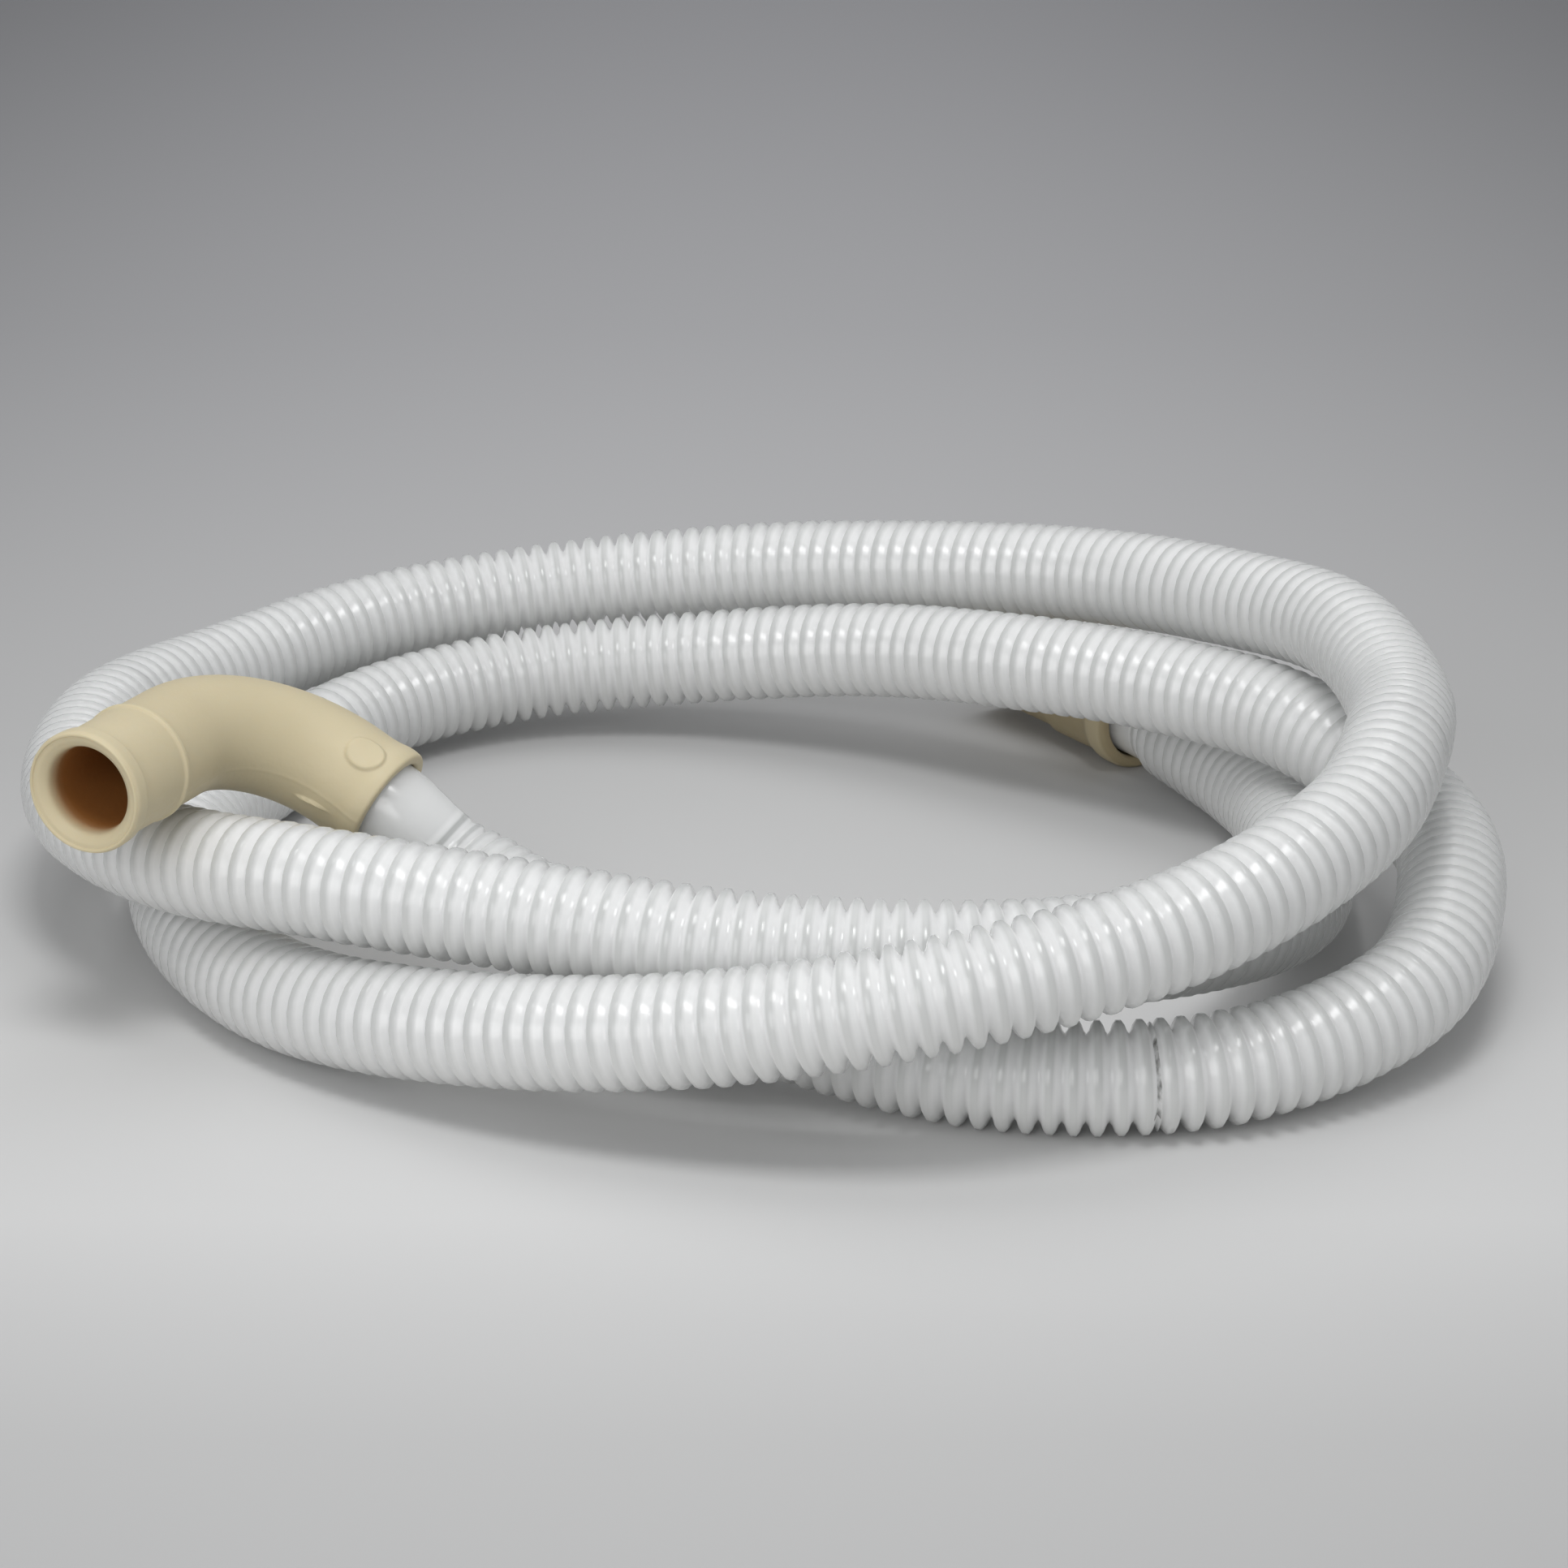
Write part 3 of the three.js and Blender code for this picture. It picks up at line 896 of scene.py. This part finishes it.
class HosePiece(Piece):
    """The corrugated hose with its smooth cuffs."""

    node = "hose"
    slot = Slot.HOSE
    # Heights across one ridge: part of the pitch, and depth below the ridge's top in millimetres
    RIDGE = ((0.0, 2.75), (0.12, 2.1), (0.23, 0.9), (0.38, 0.08), (0.62, 0.08), (0.77, 0.9), (0.88, 2.1))
    MARKS = (
        Mark(0.1848, 0.0006, 0.14, 0.10), Mark(0.1845, 0.0004, 1.0, 0.85), Mark(0.1842, 0.0008, 2.00, 0.08),
        Mark(1.0976, 0.0008, 0.49, 0.08),
    )
    # Where two of the mould's blocks met, the groove between them is shallow
    BLOCK_JOINTS = (0.1865, 1.0647, 1.4885)
    SEED = 7
    # Depth below a ridge's top at which the groove's painted light is full
    GROOVE_COLOUR_DEPTH = 1.2 * MM
    # The ridge mask's value on the cuffs and on the bore's wall, which sets their painted light and shade
    CUFF_TONE = 0.3
    INSIDE_TONE = 0.5
    MARK_REACH = 1.4
    # Share of the underside's painted light at the very bottom, and the height on the hose, from -1 at its
    # top to
    # 1 at its bottom, at which that painted light starts
    PAINTED_UNDERSIDE_SHARE = 0.5
    PAINTED_UNDERSIDE_FROM = -0.6
    CUFF_STEP = 2.0 * MM
    LAST_STEP = 0.5 * MM
    OPEN_RINGS = 12
    CHANNEL_RINGS = 110

    def __init__(self, route: HoseRoute, spec: HoseSpec) -> None:
        """Hold the route and measures.

        Args:
            route: The centreline.
            spec: The hose's measures.
        """
        self.route = route
        self.spec = spec

    def _ridges(self, start: float, end: float) -> tuple[np.ndarray, np.ndarray, np.ndarray]:
        """The ridges between the two cuffs.

        The radius at a place is the ridge's radius less the depth that RIDGE gives there. It grows from the
        cuff's radius over the first ridges and shrinks back to it over the last ones.

        Args:
            start: Distance at which the ridges start.
            end: Distance at which they end.

        Returns:
            Distances along the route, radii, and 1 on a ridge's top down to 0 in a groove.
        """
        spec = self.spec
        count = int(round((end - start) / spec.pitch))
        pitch = (end - start) / count
        chance = np.random.default_rng(self.SEED)
        shape = np.array(self.RIDGE)
        offsets = np.arange(count)[:, None] + shape[None, :, 0]
        depth = np.broadcast_to(shape[None, :, 1] * MM, offsets.shape).copy()
        for joint in self.BLOCK_JOINTS:
            depth[int(round((joint - start) / pitch)), 0] = spec.block_joint_depth
        depth += chance.normal(0.0, spec.ridge_unevenness, (count, 1))
        arc = (start + offsets * pitch).ravel()
        radius = spec.ridge_radius - np.maximum(depth.ravel(), 0.0)
        ridge = 1.0 - smooth_step(depth.ravel(), 0.0, self.GROOVE_COLOUR_DEPTH)
        grow = smooth_step(arc, start, start + spec.growing_ridges * pitch)
        shrink = smooth_step(-arc, -end, -end + spec.shrinking_ridges * pitch)
        return arc, spec.cuff_radius + (radius - spec.cuff_radius) * grow * shrink, ridge

    def _outer(self) -> tuple[np.ndarray, np.ndarray, np.ndarray]:
        """Stations, radii and ridge mask of the outside; the ridge mask carries the painted light and shade.

        Returns:
            Distances along the route, radii, and 1 on a ridge's top down to 0 in a groove.
        """
        spec, length = self.spec, self.route.length
        start = spec.cuff_at_elbow - spec.ridges_onto_elbow_cuff
        end = length - spec.cuff_at_connector + spec.ridges_onto_connector_cuff
        arc, radius, ridge = self._ridges(start, end)
        head = np.concatenate([[0.0, spec.end_rounding], np.arange(self.CUFF_STEP, start, self.CUFF_STEP)])
        tail = np.arange(end, length - self.LAST_STEP, self.CUFF_STEP)
        tail = np.concatenate([tail, [length - spec.end_rounding, length]])
        plain_head = np.full(len(head), spec.cuff_radius)
        plain_head[0] -= spec.end_rounding
        plain_tail = np.full(len(tail), spec.cuff_radius)
        plain_tail[-1] -= spec.end_rounding
        tones = [np.full(len(head), self.CUFF_TONE), ridge, np.full(len(tail), self.CUFF_TONE)]
        return (np.concatenate([head, arc, tail]), np.concatenate([plain_head, radius, plain_tail]),
                np.concatenate(tones))

    def _inner(self) -> tuple[np.ndarray, np.ndarray]:
        """Stations and radii of the bore, from the connector's end back to the elbow's.

        The bore is open for a stretch at each end. Between them it's a thin channel, so that light spreads
        through the milky wall from side to side, as it does through the real hose's thin one.

        Returns:
            Distances along the route, and radii.
        """
        spec, length = self.spec, self.route.length
        open_run = np.linspace(0.0, spec.open_bore, self.OPEN_RINGS)
        closed_from = spec.open_bore + self.LAST_STEP
        middle = np.linspace(closed_from, length - closed_from, self.CHANNEL_RINGS)
        arc = np.concatenate([open_run, middle, length - open_run[::-1]])
        radius = np.full(len(arc), spec.channel_radius)
        radius[:len(open_run)] = spec.bore_radius
        radius[-len(open_run):] = spec.bore_radius
        return arc[::-1], radius[::-1]

    def _marks(self, arc: np.ndarray, turn: np.ndarray) -> np.ndarray:
        """The mask of the dark marks, which is gone at MARK_REACH half lengths or half turns.

        Args:
            arc: Distances along the route.
            turn: Angles round the hose.

        Returns:
            Values from 0 to 1, rings by sides.
        """
        mask = np.zeros((len(arc), len(turn)))
        for mark in self.MARKS:
            near = np.abs(arc - mark.at)[:, None] / mark.half_length
            off = np.abs((turn - mark.turn + math.pi) % TAU - math.pi)[None] / mark.half_turn
            mask = np.maximum(mask, np.clip(self.MARK_REACH - np.maximum(near, off), 0.0, 1.0))
        return mask

    def build(self, material: bpy.types.Material) -> bpy.types.Object:
        """Make the hose.

        Args:
            material: Its material.

        Returns:
            The hose's object.
        """
        outer_arc, outer_radius, ridge = self._outer()
        inner_arc, inner_radius = self._inner()
        arc = np.concatenate([outer_arc, inner_arc])
        radius = np.concatenate([outer_radius, inner_radius])
        tone = np.concatenate([ridge, np.full(len(inner_arc), self.INSIDE_TONE)])
        turn = TAU * np.arange(self.spec.sides) / self.spec.sides
        size = (len(arc), len(turn))
        grime = np.vstack([self._marks(outer_arc, turn), np.zeros((len(inner_arc), len(turn)))])
        # Painted light: the hose's underside is painted lighter
        under = self.PAINTED_UNDERSIDE_SHARE * smooth_step(-np.cos(turn), self.PAINTED_UNDERSIDE_FROM, 1.0)
        stations = self.route.stations(arc)
        points = ring_surface(stations, np.broadcast_to(radius[:, None], size))
        masks = {
            "ridge": np.broadcast_to(tone[:, None], size), "grime": grime,
            "under": np.broadcast_to(under[None], size)}
        shell = ClosedShell(points, arc, masks, {"tube": unit(points - stations.points[:, None])})
        return self.dress(shell.build("corrugated_hose"), material)


class RubberPiece(Piece):
    """A moulded rubber shell, with painted shade that browns its bore, and lighter on its raised edges."""

    BORE_SOFTNESS = 0.6 * MM
    EDGE_SOFTNESS = 0.4 * MM

    def masks(self, radius: np.ndarray, sides: int, bore_below: float, edge_above: float,
              bore_share: np.ndarray | float = 1.0) -> dict[str, np.ndarray]:
        """The masks of the bore's painted shade and of the raised edges.

        Args:
            radius: The outline's radii.
            sides: Points in each ring.
            bore_below: The radius under which the wall counts as bore.
            edge_above: The radius over which it counts as an edge.
            bore_share: A share of the bore's painted shade for each ring.

        Returns:
            The masks by name, rings by sides.
        """
        bore = np.clip((bore_below - radius) / self.BORE_SOFTNESS, 0.0, 1.0) * bore_share
        edge = np.clip((radius - edge_above) / self.EDGE_SOFTNESS, 0.0, 1.0)
        ones = np.ones((1, sides))
        return {"bore": bore[:, None] * ones, "edge": edge[:, None] * ones}


class ElbowPiece(RubberPiece):
    """The moulded elbow: beaded mouth, collar line, bend, pad, rib and hose socket."""

    node = "elbow"
    slot = Slot.ELBOW
    SIDES = 240
    BORE_BELOW = 9.2 * MM
    EDGE_ABOVE = 11.75 * MM
    # Past this radius a ring lies on the outside, where pad, rib and seam are raised
    OUTSIDE_ABOVE = 11.3 * MM
    # The bore's painted shade grows over this stretch behind the mouth's face
    BORE_DARKENS = (1.0 * MM, 6.0 * MM)

    def __init__(self, spec: ElbowSpec) -> None:
        """Hold the measures.

        Args:
            spec: The elbow's measures.
        """
        self.spec = spec
        self.path = ElbowPath(spec)

    def _outline(self) -> np.ndarray:
        """The wall's closed outline, from the hose end, along the outside and back through the bore.

        Returns:
            Rows of distance from the mouth's face and radius, in metres.
        """
        spec = self.spec
        end, lip_length, collar_at, collar_width, bead_length, deep = (value / MM for value in (
            self.path.length, spec.lip_length, spec.collar_at, spec.collar_width, spec.bead_length,
            spec.socket_depth))
        body, sleeve, bead, collar, lip, bore, socket = (value / MM for value in (
            spec.body_radius, spec.sleeve_radius, spec.bead_radius, spec.collar_radius, spec.lip_radius,
            spec.bore_radius, spec.socket_radius))
        behind_collar, funnel_end = collar_at + collar_width, 5.0
        hose_end = (
            (end - 0.5, socket - 0.1, 0), (end, socket + 0.4, 0.5), (end, lip - 0.25, 0.8),
            (end - 2.5, lip, 1.5), (end - lip_length, body, 3.0))
        collar_line = (
            (behind_collar + 0.7, body - 0.05, 0.3), (behind_collar + 0.2, body - 0.2, 0.1),
            (behind_collar, collar, 0.15), (collar_at, collar, 0.2), (collar_at - 0.5, sleeve, 0.3))
        mouth_bead = (
            (bead_length + 0.7, sleeve - 0.1, 0.2), (bead_length + 0.3, sleeve - 0.1, 0.2),
            (bead_length, bead - 0.1, 0.35), (0.9, bead, 0.9), (0.0, bead - 0.45, 0.4))
        mouth_funnel = (
            (0.0, bead - 0.85, 0.12), (0.4, bead - 1.05, 0.12), (0.5, bore + 1.9, 0.9),
            (1.6, bore + 0.4, 0.9), (4.0, bore, 0.6), (funnel_end, bore, 0))
        outside = Profile((*hose_end, *collar_line, *mouth_bead, *mouth_funnel)).refined(0.5 * MM)
        inside = Profile((
            (funnel_end, bore, 0), (end - deep, bore, 0), (end - deep, socket, 0.2), (end - 2.0, socket, 0),
            (end - 1.0, socket - 0.1, 0),
        )).refined(1.5 * MM)
        return np.vstack([outside, inside[1:]])

    def _raised(self, arc: np.ndarray, turn: np.ndarray, patch: Patch) -> np.ndarray:
        """How far a raised oval patch lifts the outside.

        A place's reach is its distance from the patch's middle in half lengths and half widths, along and
        round the elbow. The lift is full where the reach is under 1 and drops to 0 past it.

        Args:
            arc: Distances from the mouth's face, one for each ring.
            turn: Angles, one for each side.
            patch: The patch.

        Returns:
            Lifts in metres, rings by sides.
        """
        along = (arc[:, None] - (self.path.length - patch.from_end)) * np.ones_like(turn)[None]
        gap = (turn - math.radians(patch.turn_deg) + math.pi) % TAU - math.pi
        round_it = np.broadcast_to(gap[None] * self.spec.body_radius, along.shape)
        c, s = math.cos(math.radians(patch.lean_deg)), math.sin(math.radians(patch.lean_deg))
        reach = np.hypot((c * along + s * round_it) / patch.half_length,
                         (c * round_it - s * along) / patch.half_width)
        return patch.height * (1.0 - smooth_step(reach, 1.0 - patch.softness, 1.0 + patch.softness))

    def build(self, material: bpy.types.Material) -> bpy.types.Object:
        """Make the elbow.

        Args:
            material: Its material.

        Returns:
            The elbow's object.
        """
        spec = self.spec
        arc, radius = self._outline().T
        turn = TAU * np.arange(self.SIDES) / self.SIDES
        # The mould's seam is a faint line along both sides of the bend
        from_seam = np.abs(np.cos(turn)) * spec.body_radius / spec.seam_width
        seam = spec.seam_height * np.exp(-(from_seam ** 2))[None]
        lift = self._raised(arc, turn, PAD) + self._raised(arc, turn, RIB) + seam
        rings = radius[:, None] + lift * (radius[:, None] > self.OUTSIDE_ABOVE)
        points = ring_surface(self.path.stations(arc), rings)
        masks = self.masks(radius, self.SIDES, self.BORE_BELOW, self.EDGE_ABOVE,
                           smooth_step(arc, *self.BORE_DARKENS))
        return self.dress(ClosedShell(points, arc, masks).build("elbow_shell"), material)


class ConnectorPiece(RubberPiece):
    """The stepped straight connector."""

    node = "connector"
    slot = Slot.CONNECTOR
    SIDES = 96
    BORE_BELOW = 9.0 * MM
    EDGE_ABOVE = 12.0 * MM

    def __init__(self, spec: ConnectorSpec) -> None:
        """Hold the measures.

        Args:
            spec: The connector's measures.
        """
        self.spec = spec

    def _outline(self) -> np.ndarray:
        """The wall's closed outline, from the socket, round the flange and back through the bore.

        Returns:
            Rows of distance from the flange's face and radius, in metres.
        """
        spec = self.spec
        end, flange_length, neck_end, deep = (value / MM for value in (
            spec.length, spec.flange_length, spec.neck_end, spec.socket_depth))
        flange, neck, tail, bore, socket = (value / MM for value in (
            spec.flange_radius, spec.neck_radius, spec.tail_radius, spec.bore_radius, spec.socket_radius))
        face = (
            (deep, socket, 0), (1.5, socket, 0.3), (0.5, socket - 0.1, 0.3), (0.0, socket + 0.4, 0.4),
            (0.0, flange - 0.9, 0.8), (1.6, flange, 1.4))
        step = (
            (flange_length - 3.2, flange, 2.0), (flange_length - 0.4, neck + 0.1, 1.2),
            (neck_end - 0.4, neck, 0.4), (neck_end + 0.2, tail, 0.4))
        tail_end = (
            (end - 0.6, tail - 0.1, 0.6), (end, tail - 0.6, 0.3), (end, bore + 0.4, 0.3),
            (end - 0.6, bore, 0.3), (deep, bore, 0))
        return Profile((*face, *step, *tail_end)).refined(1.2 * MM)

    def build(self, material: bpy.types.Material) -> bpy.types.Object:
        """Make the connector.

        Args:
            material: Its material.

        Returns:
            The connector's object.
        """
        arc, radius = self._outline().T
        rings = np.broadcast_to(radius[:, None], (len(arc), self.SIDES))
        points = ring_surface(StraightPath(self.spec.face, self.spec.azimuth).stations(arc), rings)
        masks = self.masks(radius, self.SIDES, self.BORE_BELOW, self.EDGE_ABOVE)
        return self.dress(ClosedShell(points, arc, masks).build("connector_shell"), material)


# Studio

class Studio:
    """Floor, light and camera."""

    CAMERA_AT = (0.008, -0.8213, 0.3273)
    CAMERA_TILT = 70.0
    FOCAL_PX = 5100.0
    SENSOR_MM = 36.0
    FLOOR_REACH = 6.0
    LIGHTS = (
        SoftBox("key", (0.02, -0.46, 1.05), 0.32, 3.95),
        SoftBox("top", (0.0, 0.35, 1.10), 0.9, 2.6),
        SoftBox("fill", (-0.42, -1.20, 0.55), 0.7, 4.9),
    )
    WORLD_COLOUR: Colour = (0.98, 0.99, 1.0)
    WORLD_STRENGTH = 0.42

    def camera(self) -> None:
        """Place the camera where the photograph was taken from."""
        data = bpy.data.cameras.new("photo_camera")
        data.sensor_width = self.SENSOR_MM
        data.lens = self.FOCAL_PX / IMAGE_PX * self.SENSOR_MM
        camera = bpy.data.objects.new("photo_camera", data)
        camera.location = self.CAMERA_AT
        camera.rotation_euler = (math.radians(self.CAMERA_TILT), 0.0, 0.0)
        bpy.context.scene.collection.objects.link(camera)
        bpy.context.scene.camera = camera

    def floor(self, material: bpy.types.Material) -> None:
        """Lay the floor.

        Args:
            material: The floor's material.
        """
        reach = self.FLOOR_REACH
        mesh = bpy.data.meshes.new("studio_floor")
        corners = [(-reach, -reach, 0), (reach, -reach, 0), (reach, reach, 0), (-reach, reach, 0)]
        mesh.from_pydata(corners, [], [(0, 1, 2, 3)])
        mesh.materials.append(material)
        floor = bpy.data.objects.new("studio_floor", mesh)
        bpy.context.scene.collection.objects.link(floor)

    def softbox(self, box: SoftBox) -> None:
        """Hang a soft light.

        Args:
            box: The light.
        """
        data = bpy.data.lights.new(box.name, "AREA")
        data.shape = "SQUARE"
        data.size = box.size
        data.energy = box.power
        light = bpy.data.objects.new(box.name, data)
        light.location = box.at
        light.rotation_euler = (-Vector(box.at)).to_track_quat("-Z", "Y").to_euler()
        bpy.context.scene.collection.objects.link(light)

    def world(self) -> None:
        """Set the even light from all round."""
        world = bpy.data.worlds.new("studio")
        bpy.context.scene.world = world
        world.use_nodes = True
        world.node_tree.nodes.clear()
        graph = NodeGraph(world.node_tree)
        light = graph.add("ShaderNodeBackground", None, {
            "Color": (*self.WORLD_COLOUR, 1.0), "Strength": self.WORLD_STRENGTH})
        graph.add("ShaderNodeOutputWorld", None, {"Surface": light.outputs[0]})

    def build(self, floor_material: bpy.types.Material) -> None:
        """Make the whole studio.

        Args:
            floor_material: The floor's material.
        """
        self.floor(floor_material)
        for box in self.LIGHTS:
            self.softbox(box)
        self.world()
        bpy.context.scene.view_settings.view_transform = "Standard"


def main() -> None:
    """Load the frame, make every piece and the studio, and log the route's length."""
    logging.basicConfig(level=logging.INFO, format="%(name)s %(message)s")
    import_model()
    studio = Studio()
    studio.camera()
    variation, relief = variation_group(), relief_group()
    route = full_route()
    LOG.info("route: %.3f m", route.length)

    hose = HosePiece(route, HOSE).build(MilkyPlastic().make(variation, relief))
    elbow = ElbowPiece(ELBOW).build(MouldedRubber().make(variation, relief))
    connector = ConnectorPiece(CONNECTOR).build(TanRubber().make(variation, relief))

    centres = route.point(np.linspace(0.0, route.length, 420))

    studio.build(PaleFloor().make())


if __name__ == "__main__":
    main()
